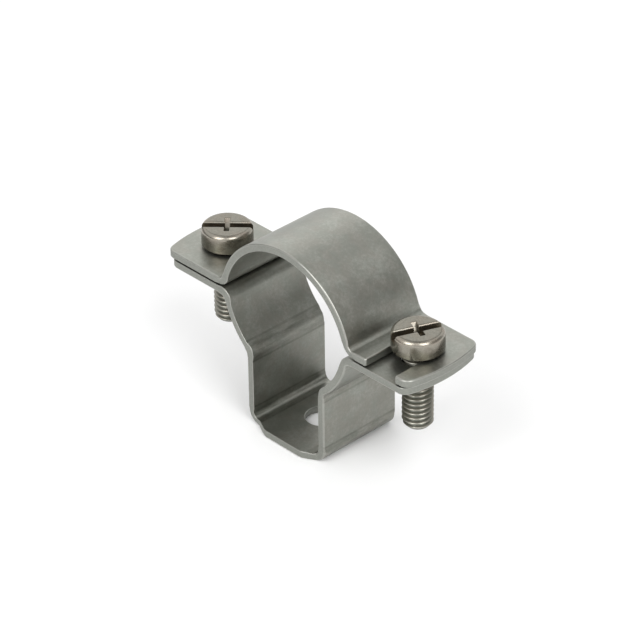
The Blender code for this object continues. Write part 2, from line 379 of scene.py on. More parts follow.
def cut_steel(finish):
    """Punched edge of the sheet: torn, finely ridged and darker in patches."""
    material, graph = new_material("punched_edge")
    place = millimetres(graph)
    tear = graph.noise(place, 3.0, 4.0, 0.7)
    cloud = graph.noise(place, 0.5, 2.0)
    colour = graph.mix(0.55 * tear + 0.20 * cloud, rgba(finish.sheet_colour), rgba(TORN_COLOUR))
    roughness = 0.40 + 0.22 * tear
    metal_output(graph, colour, roughness, tear, TORN_RELIEF)
    return material


def screw_steel(finish):
    """Bright turned stainless, with fine rings round the axis, painted shade in the thread's roots, on
    the head's side and deep in the recess, and a darker top face.
    """
    material, graph = new_material("stainless_screw")
    place = millimetres(graph)
    x, y, z = graph.split(place)
    off_axis = abs(x) - SCREW_REACH / MM
    radius = graph.math("SQRT", off_axis * off_axis + y * y)
    flat = graph.join(radius, 0.0, z)
    rings = graph.noise(flat, 7.0, 2.0, 0.6)
    cloud = graph.noise(place, 0.45, 3.0)
    speck = graph.noise(place, 3.0, 3.0, 0.6)
    streaks = scratches(graph, place, (0.6, 0.2, 0.9), (0.3, 6.0, 6.0), 0.62)

    top = SCREW_HIGH.z / MM
    shank = z < HEAD_UNDERSIDE / MM - 0.05
    head = 1.0 - shank
    # Painted shade in the thread's roots
    root_shade = shank * (1.0 - graph.smooth(radius, 2.40, 2.80))
    # Painted shade on the head's side, in patches
    side = head * (1.0 - graph.smooth(z, top - 1.5, top - 0.5))
    # Darker top face of the head
    face = graph.smooth(z, top - 0.08, top - 0.02)
    # Painted shade deep in the driving recess
    deep_recess_shade = head * (radius < 2.6) * graph.smooth(top - z, 1.4, 2.0)
    painted_shade_and_darker_top = 1.6 * deep_recess_shade + side * (0.25 + 0.75 * graph.smooth(cloud, 0.40, 0.62))
    painted_shade_and_darker_top = painted_shade_and_darker_top + face * (1.0 + 0.5 * speck)
    # Random dark flecks, the painted shade, the darker top face and a darker shank
    darkened = 0.30 * speck * speck + 0.72 * root_shade + 0.45 * painted_shade_and_darker_top + 0.16 * shank

    colour = graph.patches(cloud, 0.4, 0.65, finish.screw_colour, finish.screw_warm_colour)
    colour = graph.mix(graph.clamp(darkened), colour, rgba(finish.stain_colour))
    colour = graph.mix(shank * 0.35, colour, rgba(finish.sheet_colour))
    roughness = finish.screw_roughness - 0.05 + 0.12 * cloud + 0.06 * speck + 0.07 * shank + 0.08 * root_shade
    height = 0.35 * rings + 0.2 * speck - 0.3 * streaks
    metal_output(graph, colour, roughness, height, TURNED_RELIEF)
    return material


def recess_steel(finish):
    """Walls and floor of the driving recess, darkened as painted shade, with brown patches."""
    material, graph = new_material("screw_recess")
    place = millimetres(graph)
    patch_noise = graph.noise(place, 1.1, 3.0, 0.6)
    colour = graph.patches(patch_noise, 0.35, 0.7, finish.recess_colour, BROWN_PATCH_COLOUR)
    metal_output(graph, colour, 0.34 + 0.2 * patch_noise, patch_noise, RECESS_RELIEF)
    return material


def walk(start, moves, arc_step, run_step):
    """Points along a section's middle line, each with its distance, place and bend.

    A move is a length and the angle that the line turns by over it, to the left.
    """
    along = 0.0
    heading = 0.0
    x, z = start
    points = [(along, x, z, 0.0)]
    for length, turn in moves:
        count = math.ceil(abs(turn) / arc_step) if turn else math.ceil(length / run_step)
        step = length / count
        bend = turn / length
        for _ in range(count):
            middle = heading + turn / count / 2
            chord = step * (math.sin(turn / count / 2) / (turn / count / 2) if turn else 1.0)
            x += chord * math.cos(middle)
            z += chord * math.sin(middle)
            heading += turn / count
            along += step
            points.append((along, x, z, bend))
    return points


def arc(radius, degrees):
    """A bend of the middle line, to the left where degrees is positive."""
    return radius * abs(math.radians(degrees)), math.radians(degrees)


def strap_fold():
    """How far out the strap's flat ear begins, and the angle that the arch turns by up to its fold."""
    span = ARCH_OUTSIDE + FOLD_INSIDE
    rise = STRAP_LOW.z + THICKNESS + FOLD_INSIDE - (STRAP_HIGH.z - ARCH_OUTSIDE)
    return math.sqrt(span ** 2 - rise ** 2), 90.0 - math.degrees(math.asin(rise / span))


def strap_moves(ear_run):
    """Half of the strap's section, from the crown: arch, fold and ear."""
    _, fall = strap_fold()
    return [arc(ARCH_OUTSIDE - THICKNESS / 2, -fall), arc(FOLD_MIDDLE, fall), (ear_run, 0.0)]


def bracket_angles():
    """Angles of the wall's bend and the ear's below the cradle's centre.

    The height of the wall's bend and the distance at which the flat ear starts come with them.
    """
    span = CRADLE_INSIDE + FOLD_OUTSIDE
    wall_reach = CHANNEL_WIDTH / 2 + FOLD_OUTSIDE
    wall_drop = math.sqrt(span ** 2 - wall_reach ** 2)
    ear_drop = CRADLE_CENTRE - BRACKET_HIGH.z + FOLD_OUTSIDE
    low = math.degrees(math.asin(wall_drop / span))
    high = math.degrees(math.asin(ear_drop / span))
    return low, high, CRADLE_CENTRE - wall_drop, math.sqrt(span ** 2 - ear_drop ** 2)


def bracket_moves(ear_run):
    """Half of the bracket's section, from the base: wall, cradle shoulder and ear."""
    low, high, bend_height, _ = bracket_angles()
    return [
        (CHANNEL_WIDTH / 2 - FOLD_INSIDE, 0.0),
        arc(FOLD_MIDDLE, 90.0),
        (bend_height - FOLD_OUTSIDE, 0.0),
        arc(FOLD_MIDDLE, -low),
        arc(CRADLE_INSIDE + THICKNESS / 2, low - high),
        arc(FOLD_MIDDLE, high - 90.0),
        (ear_run, 0.0),
    ]


def angles(start, end, step):
    """Evenly spaced angles from start to end, none further apart than step."""
    count = max(2, math.ceil(abs(end - start) / step))
    return [start + (end - start) * i / count for i in range(count + 1)]


def polar(centre, radius, angle):
    """Point on a circle."""
    return centre[0] + radius * math.cos(angle), centre[1] + radius * math.sin(angle)


def ear_end(reach, half_width):
    """Rounded corner and half of the bowed end of an ear, from its side to its tip."""
    bow_centre = reach - EAR_END_RADIUS
    height = half_width - EAR_CORNER_RADIUS
    inner_bow = EAR_END_RADIUS - EAR_CORNER_RADIUS
    corner = (bow_centre + math.sqrt(inner_bow ** 2 - height ** 2), height)
    turn = math.asin(height / inner_bow)
    bend = [polar(corner, EAR_CORNER_RADIUS, a) for a in angles(math.pi / 2, turn, ROUND_STEP)]
    bow = [polar((bow_centre, 0.0), EAR_END_RADIUS, a) for a in angles(turn, 0.0, ROUND_STEP / 4)]
    return bend + bow[1:]


def mirrored(quarter):
    """A quarter outline from side to tip, and its mirror image back to the other side."""
    return quarter + [(x, -y) for x, y in quarter[-2::-1]]


def soft_corner(before, corner, after, radius):
    """Arc that rounds one corner of an outline."""
    here = Vector(corner)
    back = (Vector(before) - here).normalized()
    ahead = (Vector(after) - here).normalized()
    half = back.angle(ahead) / 2
    centre = here + (back + ahead).normalized() * radius / math.sin(half)
    start = (here + back * radius / math.tan(half) - centre).normalized()
    end = (here + ahead * radius / math.tan(half) - centre).normalized()
    shares = [i / CORNER_STEPS for i in range(CORNER_STEPS + 1)]
    return [tuple(centre + radius * start.slerp(end, share)) for share in shares]


def slot_outline():
    """The front ear's open slot, from its mouth's outer corner round to the inner one."""
    spacing = 2 * SCREW_REACH
    drift = spacing * (1 - math.cos(math.asin(STRAP_HIGH.y / spacing)))
    radius = SHANK_RADIUS + drift / 2 + SLOT_CLEARANCE
    centre = (SCREW_REACH - drift / 2, 0.0)
    side = STRAP_LOW.y
    outer = centre[0] + radius
    inner = centre[0] - radius
    start = soft_corner((STRAP_HIGH.x, side), (outer, side), (outer, 0.0), SLOT_MOUTH_RADIUS)
    end = soft_corner((inner, 0.0), (inner, side), (0.0, side), SLOT_MOUTH_RADIUS)
    return start + [polar(centre, radius, a) for a in angles(0.0, math.pi, ROUND_STEP)] + end


def strap_outline():
    """Plan of the strap as it lies folded, with its front slot."""
    half_width = STRAP_HIGH.y
    front = mirrored(ear_end(STRAP_HIGH.x, half_width)) + slot_outline()
    rear = mirrored(ear_end(-STRAP_LOW.x, half_width))
    return front + [(-x, -y) for x, y in rear]


def base_corner(offset):
    """Corner of the base plate, from its wide edge in to the wall's width."""
    start = (BASE_CORNER_START + offset, BRACKET_HIGH.y)
    end = (start[0] + BASE_CORNER_RUN, BRACKET_HALF_WIDTH)
    first = soft_corner((0.0, start[1]), start, end, BASE_CORNER_RADIUS)
    last = soft_corner(start, end, (BRACKET_HIGH.x, end[1]), BASE_CORNER_FOOT_RADIUS)
    return first + last


def bracket_outline():
    """Plan of the bracket, with the wide part of its base a little off the middle."""
    ear = ear_end(BRACKET_HIGH.x, BRACKET_HALF_WIDTH)
    front = mirrored(base_corner(BASE_OFFSET) + ear)
    rear = mirrored(base_corner(-BASE_OFFSET) + ear)
    return front + [(-x, -y) for x, y in rear]


def ring(centre_x, radius):
    """Points round a hole."""
    count = round(2 * math.pi / ROUND_STEP)
    return [polar((centre_x, 0.0), radius, 2 * math.pi * i / count) for i in range(count)]


def unfold(points, ear_start, stretch):
    """Move what lies on the ears out by the length that the folds take up."""
    return [(x + math.copysign(stretch, x), y) if abs(x) > ear_start else (x, y) for x, y in points]


def bend_at(points, along):
    """Bend of the section at a distance along it, averaged over a short stretch."""
    reach = 0.4 * MM
    near = [point[3] for point in points if abs(point[0] - along) < reach]
    return sum(near) / len(near) if near else 0.0


def tight_bends(moves):
    """Start and end of each tight bend along half a section."""
    spans = []
    along = 0.0
    for length, turn in moves:
        if turn and length / abs(turn) < FOLD_OUTSIDE:
            spans.append((along, along + length))
        along += length
    return spans


def worked_at(bends, along):
    """1 in a tight bend and a short way past it, where the tool pressed, and 0 elsewhere."""
    away = min(max(low - along, along - high) for low, high in bends)
    return min(1.0, max(0.0, 1.0 - (away - MARK_REACH) / MARK_EDGE))


def placed(name, data):
    """New object in the scene for a mesh, a curve, a lamp or a camera."""
    item = bpy.data.objects.new(name, data)
    bpy.context.scene.collection.objects.link(item)
    return item


def punched_sheet(outline, holes, stations):
    """Flat sheet of the full thickness with its holes, cut across at the stations."""
    form = bmesh.new()
    edges = []
    for loop in [outline, *holes]:
        verts = [form.verts.new((x, y, -THICKNESS / 2)) for x, y in loop]
        edges += [form.edges.new(pair) for pair in zip(verts, verts[1:] + verts[:1])]
    bmesh.ops.triangle_fill(form, edges=edges, normal=(0.0, 0.0, 1.0))
    for place in stations:
        whole = form.verts[:] + form.edges[:] + form.faces[:]
        bmesh.ops.bisect_plane(
            form, geom=whole, plane_co=(place, 0, 0), plane_no=(1, 0, 0), dist=CUT_TOLERANCE
        )
    inside = [edge for edge in form.edges if len(edge.link_faces) == 2]
    slanted = [edge for edge in inside if abs(edge.verts[0].co.x - edge.verts[1].co.x) > ALIGNED]
    bmesh.ops.dissolve_edges(form, edges=slanted, use_verts=False)
    idle = [vert for vert in form.verts if len(vert.link_edges) == 2 and not vert.is_boundary]
    bmesh.ops.dissolve_verts(form, verts=idle)
    swept = bmesh.ops.extrude_face_region(form, geom=form.faces[:])
    moved = [part for part in swept["geom"] if isinstance(part, bmesh.types.BMVert)]
    bmesh.ops.translate(form, verts=moved, vec=(0.0, 0.0, THICKNESS))
    bmesh.ops.recalc_face_normals(form, faces=form.faces)
    return form


def deburr(form, outer_up):
    """Mark the cut faces and round their rims, more on the outer side, which the punch rolled over."""
    cut = form.faces.layers.float.new("cut")
    rim = form.faces.layers.float.new("rim")
    for face in form.faces:
        face[cut] = 1.0 if abs(face.normal.z) < STEEP else 0.0
    widths = (OUTER_RIM, INNER_RIM) if outer_up else (INNER_RIM, OUTER_RIM)
    for side, width in zip((1.0, -1.0), widths):
        rims = [
            edge for edge in form.edges
            if any(face.normal.z * side > STEEP for face in edge.link_faces)
            and any(abs(face.normal.z) < STEEP and face[cut] for face in edge.link_faces)
        ]
        made = bmesh.ops.bevel(
            form, geom=rims, offset=width, segments=RIM_SEGMENTS, profile=0.5,
            affect="EDGES", offset_type="OFFSET",
        )
        for face in made["faces"]:
            face[cut] = 0.0
            face[rim] = 1.0


def blank(name, outline, holes, stations, outer_up):
    """Punched and deburred sheet, ready to fold."""
    form = punched_sheet(outline, holes, stations)
    deburr(form, outer_up)
    mesh = bpy.data.meshes.new(name)
    form.to_mesh(mesh)
    form.free()
    return placed(name, mesh)


def section_curve(name, points):
    """The middle line of half a section, as a curve that a blank is folded along."""
    data = bpy.data.curves.new(name, "CURVE")
    data.dimensions = "3D"
    line = data.splines.new("POLY")
    line.points.add(len(points) - 1)
    for target, (_, x, z, _) in zip(line.points, points):
        target.co = (x, 0.0, z, 1.0)
    return placed(name, data)


def tree_inputs(tree, sockets):
    """Give a geometry tree its named inputs and return them as values."""
    tree.interface.new_socket("Geometry", in_out="OUTPUT", socket_type="NodeSocketGeometry")
    for name, kind in sockets.items():
        tree.interface.new_socket(name, in_out="INPUT", socket_type=f"NodeSocket{kind}")
    graph = Graph(tree)
    node = tree.nodes.new("NodeGroupInput")
    return graph, {name: Socket(graph, node.outputs[name]) for name in sockets}


def tree_output(graph, geometry):
    """Lead the finished geometry to the tree's output."""
    node = graph.tree.nodes.new("NodeGroupOutput")
    graph.tree.links.new(geometry.socket, node.inputs["Geometry"])


def named(graph, name):
    """A named number that the geometry carries."""
    return graph.add("GeometryNodeInputNamedAttribute", {"data_type": "FLOAT"}, {"Name": name})


def folding_tree():
    """Fold a flat blank along half a section, mirrored for its other half."""
    tree = bpy.data.node_groups.new("fold_sheet", "GeometryNodeTree")
    graph, given = tree_inputs(tree, {
        "Geometry": "Geometry",
        "Section": "Object",
        "Edge Bulge": "Float",
        "Surface": "Material",
        "Cut Edge": "Material",
    })
    x, y, z = graph.position()
    section = graph.add("GeometryNodeObjectInfo", None, {"Object": given["Section"]}, "Geometry")
    sockets = {"Curves": section, "Length": abs(x)}
    sample = graph.add("GeometryNodeSampleCurve", {"mode": "LENGTH"}, sockets, "Position")
    at_x, _, at_z = graph.split(sample)
    run_x, _, run_z = graph.split(graph.vector("NORMALIZE", graph.other(sample, "Tangent")))
    side = graph.math("SIGN", x)
    bulge = named(graph, "bend") * z * given["Edge Bulge"]
    wide = y + graph.math("SIGN", y) * bulge
    folded = graph.join(side * (at_x - run_z * z), wide, at_z + run_x * z)
    smooth = graph.add("GeometryNodeSetShadeSmooth", sockets={0: graph.moved(given["Geometry"], folded)})
    real = graph.add("GeometryNodeRealizeInstances", sockets={0: smooth})
    torn = graph.above(named(graph, "cut"), 0.5)
    edged = graph.coated(graph.coated(real, given["Surface"]), given["Cut Edge"], torn)
    tree_output(graph, edged)
    return tree


def give(modifier, values):
    """Set a modifier's inputs by their sockets' identifiers."""
    for item in modifier.node_group.interface.items_tree:
        if item.item_type == "SOCKET" and item.in_out == "INPUT" and item.name in values:
            modifier[item.identifier] = values[item.name]


def taken_mesh(item):
    """Mesh of an object with its modifiers applied; the object itself is removed."""
    graph = bpy.context.evaluated_depsgraph_get()
    mesh = bpy.data.meshes.new_from_object(item.evaluated_get(graph), depsgraph=graph)
    bpy.data.objects.remove(item, do_unlink=True)
    return mesh


def as_mesh(item, name, crease):
    """Plain mesh object from an object and its modifiers, with smooth faces and even normals."""
    mesh = taken_mesh(item)
    mesh.shade_smooth()
    mesh.set_sharp_from_angle(angle=crease)
    step = placed(name + "_step", mesh)
    weigh = step.modifiers.new("normals", "WEIGHTED_NORMAL")
    weigh.keep_sharp = True
    final = taken_mesh(step)
    final.name = name
    return placed(name, final)


def folded_sheet(name, outline, holes, start, moves, ear_start, outer_up, finish):
    """Punch a blank, deburr it and fold it along its section."""
    fine = walk(start, moves, SECTION_STEP, RUN_STEP)
    folds = walk(start, moves, ARC_STEP, WHOLE_RUN)
    stretch = folds[-2][0] - ear_start
    flat_outline = unfold(outline, ear_start, stretch)
    flat_holes = [unfold(hole, ear_start, stretch) for hole in holes]
    stations = {0.0}
    for along, _, _, _ in folds[1:-1]:
        stations |= {along, -along}
    bends = tight_bends(moves)
    for low, high in bends:
        for reach in (MARK_REACH, MARK_REACH + MARK_EDGE):
            stations |= {low - reach, reach - low, high + reach, -high - reach}
    stations |= {sum(x for x, _ in hole) / len(hole) for hole in flat_holes}
    flat = blank(name + "_blank", flat_outline, flat_holes, sorted(stations), outer_up)
    bend = flat.data.attributes.new("bend", "FLOAT", "POINT")
    worked = flat.data.attributes.new("worked", "FLOAT", "POINT")
    for vert in flat.data.vertices:
        bend.data[vert.index].value = bend_at(fine, abs(vert.co.x))
        worked.data[vert.index].value = worked_at(bends, abs(vert.co.x))
    section = section_curve(name + "_section", fine)
    fold = flat.modifiers.new("fold", "NODES")
    fold.node_group = folding_tree()
    give(fold, {
        "Section": section,
        "Edge Bulge": EDGE_BULGE,
        "Surface": sheet_steel(finish),
        "Cut Edge": cut_steel(finish),
    })
    done = as_mesh(flat, name, SHEET_CREASE)
    bpy.data.objects.remove(section, do_unlink=True)
    return done


def screw_tree():
    """Cheese-head screw: threaded shank and turned head joined, slot and cross recess cut."""
    tree = bpy.data.node_groups.new("cheese_head_screw", "GeometryNodeTree")
    sizes = [
        "Major Diameter", "Thread Depth", "Pitch", "Shank Length", "Tip Diameter", "Neck Diameter",
        "Head Diameter", "Head Height", "Edge Radius", "Slot Width", "Slot Depth", "Cross Length",
        "Cross Width", "Cross Depth", "Rolled Edge", "Slot Turn",
    ]
    sockets = dict.fromkeys(sizes, "Float")
    sockets |= {"Place": "Vector", "Steel": "Material", "Recess": "Material"}
    graph, given = tree_inputs(tree, sockets)
    shank = threaded_shank(graph, given)
    head = turned_head(graph, given)
    whole = graph.boolean("UNION", {"Mesh 2": [shank, head]})
    cut = graph.boolean("DIFFERENCE", {"Mesh 1": whole, "Mesh 2": drive_cutters(graph, given)})
    turn = graph.join(0.0, 0.0, given["Slot Turn"])
    sockets = {"Geometry": cut, "Translation": given["Place"], "Rotation": turn}
    turned = graph.add("GeometryNodeTransform", sockets=sockets)
    real = graph.add("GeometryNodeRealizeInstances", sockets={0: turned})
    in_recess = graph.add("GeometryNodeMaterialSelection", sockets={"Material": given["Recess"]})
    outside = graph.add("FunctionNodeBooleanMath", {"operation": "NOT"}, {0: in_recess})
    tree_output(graph, graph.coated(real, given["Steel"], outside))
    return tree


def wrapped_grid(graph, columns, rows):
    """Grid of points by column and row, for wrapping round an axis."""
    grid = graph.add("GeometryNodeMeshGrid", sockets={"Vertices X": columns + 1, "Vertices Y": rows})
    index = graph.add("GeometryNodeInputIndex")
    column = graph.math("FLOOR", (index + 0.5) / rows)
    return grid, column / columns * (2 * math.pi), index - column * rows


def wrap(graph, grid, angle, radius, height):
    """Wrap a grid round the axis and close its seam and poles."""
    round_x = radius * graph.math("COSINE", angle)
    round_y = radius * graph.math("SINE", angle)
    wrapped = graph.moved(grid, graph.join(round_x, round_y, height))
    return graph.add("GeometryNodeMergeByDistance", sockets={"Geometry": wrapped, "Distance": SEAM_GAP})


def threaded_shank(graph, given):
    """Right-hand thread with rounded crests, chamfered tip and plain neck, its top inside the head."""
    columns = 72
    per_turn = 14.0
    into_head = 0.4 * MM
    neck_start = -1.15 * MM
    neck_end = -0.55 * MM
    tip_slope = 0.85
    pitch = given["Pitch"]
    tip = -given["Shank Length"]
    turns = graph.math("CEIL", (given["Shank Length"] + into_head) / pitch) + 1.0
    rows = turns * per_turn + 3.0
    grid, angle, row = wrapped_grid(graph, columns, rows)
    phase = (row - 1.0) / per_turn
    height = graph.clamp(tip + (phase - 1.0 + angle / (2 * math.pi)) * pitch, tip, into_head)
    wave = abs(graph.math("FRACT", phase) - 0.5) * 2.0
    ridge = graph.smooth(wave, 0.08, 1.0)
    radius = given["Major Diameter"] / 2.0 - given["Thread Depth"] * (1.0 - ridge)
    neck = graph.smooth(height, neck_start, neck_end)
    radius = graph.pick(neck, given["Neck Diameter"] / 2.0, radius)
    radius = graph.math("MINIMUM", radius, given["Tip Diameter"] / 2.0 + (height - tip) * tip_slope)
    radius = radius * (row > 0.5) * (row < rows - 1.5)
    return wrap(graph, grid, angle, radius, height)


def turned_head(graph, given):
    """Head turned about the axis: flat underside, small foot chamfer, rounded top edge."""
    sides = 120
    steps = 10
    foot = 0.25 * MM
    taper = 0.05 * MM
    blank_form = graph.add("GeometryNodeMeshCylinder", {"fill_type": "NGON"}, {
        "Vertices": sides,
        "Side Segments": steps + 2,
        "Radius": 1.0,
        "Depth": 1.0,
    })
    x, y, z = graph.position()
    row = (z + 0.5) * (steps + 2.0)
    rim = given["Head Diameter"] / 2.0
    edge = given["Edge Radius"]
    sweep = graph.clamp((row - 2.0) / steps) * (math.pi / 2)
    radius = rim - taper - edge + edge * graph.math("COSINE", sweep)
    radius = graph.pick(row < 1.5, rim, radius)
    radius = graph.pick(row < 0.5, rim - foot, radius)
    height = given["Head Height"] - edge + edge * graph.math("SINE", sweep)
    height = graph.pick(row < 1.5, foot, height) * (row > 0.5)
    return graph.moved(blank_form, graph.join(x * radius, y * radius, height))


def drive_cutters(graph, given):
    """The full slot, and the short deeper bar across it whose ends slope in, both with rolled edges."""
    across = given["Head Diameter"] * 1.5
    roll = given["Rolled Edge"]
    sizes = (given["Cross Width"], given["Cross Length"], given["Cross Depth"])
    slot = cutter(graph, given, across, given["Slot Width"], given["Slot Depth"], roll, 0.0)
    cross = cutter(graph, given, *sizes, roll * 0.5, CROSS_SLOPE)
    return [slot, cross]


def cutter(graph, given, size_x, size_y, depth, roll, slope):
    """Bar that widens in a quarter round at the head's top, its ends along Y closing in below."""
    steps = 6
    bar = graph.add("GeometryNodeMeshCube", sockets={"Size": (1.0, 1.0, 1.0), "Vertices Z": steps + 3})
    x, y, z = graph.position()
    row = (z + 0.5) * (steps + 2.0)
    sweep = graph.clamp((row - 1.0) / steps) * (math.pi / 2)
    out = roll * (1.0 - graph.math("COSINE", sweep))
    height = roll * (graph.math("SINE", sweep) - 1.0)
    height = graph.pick(row < 0.5, -depth, height) + (row > steps + 1.5) * MM
    wide = x * (size_x + out * 2.0)
    long = y * (size_y * (1.0 + slope * graph.math("MINIMUM", height, 0.0) / depth) + out * 2.0)
    shaped = graph.moved(bar, graph.join(wide, long, height + given["Head Height"]))
    _, _, level = graph.position()
    _, facing, _ = graph.split(graph.add("GeometryNodeInputNormal"))
    sloped_end = (abs(facing) > 0.5) * float(slope > 0.0)
    # Faces below the rolled edge receive the recess material with its painted shade; the cross's sloped
    # ends stay steel
    shaded_recess = (level < given["Head Height"] - roll * 0.7) * (1.0 - sloped_end)
    return graph.coated(shaped, given["Recess"], graph.above(shaded_recess, 0.5))


def make_screw(name, place, turn, sizes, tree, steel, recess):
    """One screw from the tree at its place, with its slot turned, as a plain mesh."""
    carrier = placed(name + "_carrier", bpy.data.meshes.new(name))
    shape = carrier.modifiers.new("screw", "NODES")
    shape.node_group = tree
    give(shape, {key.replace("_", " ").title(): getattr(sizes, key) for key in sizes.__annotations__})
    give(shape, {
        "Shank Length": SHANK_LENGTH,
        "Head Diameter": HEAD_DIAMETER,
        "Head Height": HEAD_HEIGHT,
        "Edge Radius": EDGE_RADIUS,
        "Slot Turn": turn,
        "Place": place,
        "Steel": steel,
        "Recess": recess,
    })
    return as_mesh(carrier, name, SCREW_CREASE)


class HolderFinish(bpy.types.PropertyGroup):
    """Colours and polish of the steels."""

    sheet_colour: bpy.props.FloatVectorProperty(
        name="Sheet Colour", description="Tone of the folded sheet",
        subtype="COLOR", size=3, min=0.0, max=1.0, default=(0.339, 0.349, 0.313),
    )
    sheet_warm_colour: bpy.props.FloatVectorProperty(
        name="Sheet Warm Colour", description="Slightly warmer patches of the sheet",
        subtype="COLOR", size=3, min=0.0, max=1.0, default=(0.350, 0.348, 0.312),
    )
    # Colour of the random stain in the grain and of the painted shade in the thread's roots, on the
    # screw heads and on the lower bends
    stain_colour: bpy.props.FloatVectorProperty(
        name="Stain Colour", description="Oxide and oil in the grain, the bends and the thread's roots",
        subtype="COLOR", size=3, min=0.0, max=1.0, default=(0.075, 0.075, 0.06),
    )
    worn_colour: bpy.props.FloatVectorProperty(
        name="Worn Colour", description="Bare bright metal in scratches",
        subtype="COLOR", size=3, min=0.0, max=1.0, default=(0.58, 0.58, 0.55),
    )
    sheet_roughness: bpy.props.FloatProperty(
        name="Sheet Roughness", description="How matt the folded sheet is",
        subtype="FACTOR", min=0.0, max=1.0, default=0.42,
    )
    screw_colour: bpy.props.FloatVectorProperty(
        name="Screw Colour", description="Tone of the turned screws",
        subtype="COLOR", size=3, min=0.0, max=1.0, default=(0.33, 0.31, 0.265),
    )
    screw_warm_colour: bpy.props.FloatVectorProperty(
        name="Screw Warm Colour", description="Slightly warmer patches of the screws",
        subtype="COLOR", size=3, min=0.0, max=1.0, default=(0.34, 0.30, 0.25),
    )
    screw_roughness: bpy.props.FloatProperty(
        name="Screw Roughness", description="How bright the screws are",
        subtype="FACTOR", min=0.0, max=1.0, default=0.22,
    )
    # Painted shade: the recess's darker steel stands in for the shade inside it
    recess_colour: bpy.props.FloatVectorProperty(
        name="Recess Colour", description="Oil-dulled steel inside the driving recess",
        subtype="COLOR", size=3, min=0.0, max=1.0, default=(0.15, 0.135, 0.105),
    )


class HolderScrewSizes(bpy.types.PropertyGroup):
    """Sizes of the two screws that the frame doesn't give."""

    major_diameter: bpy.props.FloatProperty(
        name="Thread Diameter", description="Across the thread's crests",
        unit="LENGTH", default=5.86 * MM,
    )
    thread_depth: bpy.props.FloatProperty(
        name="Thread Depth", description="From crest to root",
        unit="LENGTH", default=0.6 * MM,
    )
    pitch: bpy.props.FloatProperty(
        name="Pitch", description="From one crest to the next",
        unit="LENGTH", default=1.0 * MM,
    )
    tip_diameter: bpy.props.FloatProperty(
        name="Tip Diameter", description="Flat at the end of the shank",
        unit="LENGTH", default=4.4 * MM,
    )
    neck_diameter: bpy.props.FloatProperty(
        name="Neck Diameter", description="Plain stretch under the head",
        unit="LENGTH", default=5.3 * MM,
    )
    slot_width: bpy.props.FloatProperty(
        name="Slot Width", description="Width of the driving slot, below its rolled edges",
        unit="LENGTH", default=1.6 * MM,
    )
    rolled_edge: bpy.props.FloatProperty(
        name="Rolled Edge", description="How far the driving slot's edges are rolled over",
        unit="LENGTH", default=0.36 * MM,
    )
    slot_depth: bpy.props.FloatProperty(
        name="Slot Depth", description="Depth of the driving slot",
        unit="LENGTH", default=1.7 * MM,
    )
    cross_length: bpy.props.FloatProperty(
        name="Cross Length", description="Length of the bar across the slot, at the top",
        unit="LENGTH", default=4.7 * MM,
    )
    cross_width: bpy.props.FloatProperty(
        name="Cross Width", description="Width of the bar across the slot, at the top",
        unit="LENGTH", default=0.95 * MM,
    )
    cross_depth: bpy.props.FloatProperty(
        name="Cross Depth", description="Depth of the bar across the slot",
        unit="LENGTH", default=2.5 * MM,
    )
    front_turn: bpy.props.FloatProperty(
        name="Front Slot Turn", description="Direction of the front screw's slot",
        subtype="ANGLE", default=math.radians(67.0),
    )
    rear_turn: bpy.props.FloatProperty(
        name="Rear Slot Turn", description="Direction of the rear screw's slot",
        subtype="ANGLE", default=math.radians(44.0),
    )


class HolderStage(bpy.types.PropertyGroup):
    """Camera and floor."""

    azimuth: bpy.props.FloatProperty(
        name="Azimuth", description="Direction the camera looks in, from +Y towards -X",
        subtype="ANGLE", default=math.radians(46.896),
    )
    elevation: bpy.props.FloatProperty(
        name="Elevation", description="How far the camera looks down",
        subtype="ANGLE", default=math.radians(32.783),
    )
    roll: bpy.props.FloatProperty(
        name="Roll", description="Tilt of the camera about its line of sight",
        subtype="ANGLE", default=math.radians(-0.930),
    )
    camera_place: bpy.props.FloatVectorProperty(
        name="Camera Place", description="Where the camera stands",
        subtype="TRANSLATION", size=3, default=(0.36088, -0.33980, 0.34390),
    )
    focal_length: bpy.props.FloatProperty(
        name="Focal Length", description="Lens on a 36 mm sensor, in millimetres",
        min=10.0, default=184.28,
    )
    floor_colour: bpy.props.FloatVectorProperty(
        name="Floor Colour", description="Pale floor",
        subtype="COLOR", size=3, min=0.0, max=1.0, default=(0.88, 0.88, 0.88),
    )


class HOLDER_OT_add_strap(bpy.types.Operator):
    """Add the strap: arch, ear on the rear screw and ear with the open slot"""

    bl_idname = "holder.add_strap"
    bl_label = "Add Strap"

    def execute(self, context):
        finish = context.scene.holder_finish
        start = (0.0, STRAP_HIGH.z - THICKNESS / 2)
        ear_start = strap_fold()[0]
        moves = strap_moves(max(STRAP_HIGH.x, -STRAP_LOW.x) + EAR_SPARE - ear_start)
        holes = [ring(-SCREW_REACH, PIVOT_HOLE_RADIUS)]
        strap = folded_sheet(
            "strap_sheet", strap_outline(), holes, start, moves, ear_start, True, finish
        )
        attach(strap, "strap")
        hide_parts("clamp_strap")
        return {"FINISHED"}


class HOLDER_OT_add_bracket(bpy.types.Operator):
    """Add the bracket: base plate, channel walls, cradle shoulders and tapped ears"""

    bl_idname = "holder.add_bracket"
    bl_label = "Add Bracket"

    def execute(self, context):
        finish = context.scene.holder_finish
        start = (0.0, THICKNESS / 2)
        ear_start = bracket_angles()[3]
        moves = bracket_moves(BRACKET_HIGH.x + EAR_SPARE - ear_start)
        holes = [
            ring(0.0, FIXING_HOLE_RADIUS),
            ring(SCREW_REACH, TAPPED_HOLE_RADIUS),
            ring(-SCREW_REACH, TAPPED_HOLE_RADIUS),
        ]
        bracket = folded_sheet(
            "bracket_sheet", bracket_outline(), holes, start, moves, ear_start, False, finish
        )
        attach(bracket, "bracket")
        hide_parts("base_bracket")
        return {"FINISHED"}


